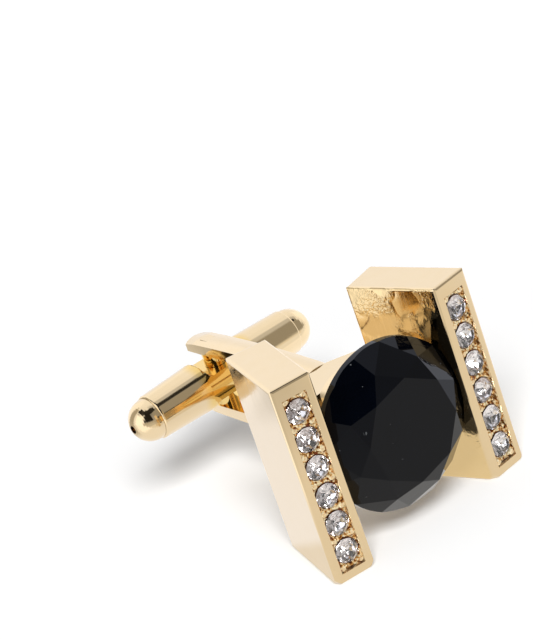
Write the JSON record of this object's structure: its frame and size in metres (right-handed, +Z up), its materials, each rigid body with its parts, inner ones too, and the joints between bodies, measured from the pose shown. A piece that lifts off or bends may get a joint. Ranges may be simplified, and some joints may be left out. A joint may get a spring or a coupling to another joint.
{
  "type": "cufflink",
  "caption": "Cufflink with a round faceted dark stone gripped between splayed crystal-set bars, and a forked post with a swivelling toggle behind.",
  "frame": {"origin": "middle of the footprint, on the surface the lower ends of the bars stand on", "axes": "+X across the pair of bars, to the right as seen from the stone; +Y from the stone back along the post to the toggle; +Z up along the bars"},
  "size_m": [0.0198, 0.0274, 0.0171],
  "materials": {
    "gilt_metal": "polished pale gold plate",
    "dark_stone": "polished, opaque blue-black",
    "clear_crystal": "clear cut crystal",
    "spring_steel": "plain"
  },
  "bodies": {
    "head": {"left_bar": "gilt_metal", "right_bar": "gilt_metal", "bridge": "gilt_metal", "stone_cup": "gilt_metal", "stone": "dark_stone", "left_crystal_1": "clear_crystal", "left_crystal_2": "clear_crystal", "left_crystal_3": "clear_crystal", "left_crystal_4": "clear_crystal", "left_crystal_5": "clear_crystal", "left_crystal_6": "clear_crystal", "right_crystal_1": "clear_crystal", "right_crystal_2": "clear_crystal", "right_crystal_3": "clear_crystal", "right_crystal_4": "clear_crystal", "right_crystal_5": "clear_crystal", "right_crystal_6": "clear_crystal", "post_fork": "gilt_metal", "pivot_pin": "gilt_metal"},
    "toggle": {"toggle_body": "gilt_metal", "left_cap": "gilt_metal", "right_cap": "gilt_metal", "toggle_spring": "spring_steel"}
  },
  "joints": [
    {"name": "toggle_pivot", "type": "hinge", "parent": "head", "child": "toggle", "pos_m": [0, 0.01148, 0.00855], "axis": [0, 0, 1], "range_deg": [-90, 90]}
  ]
}
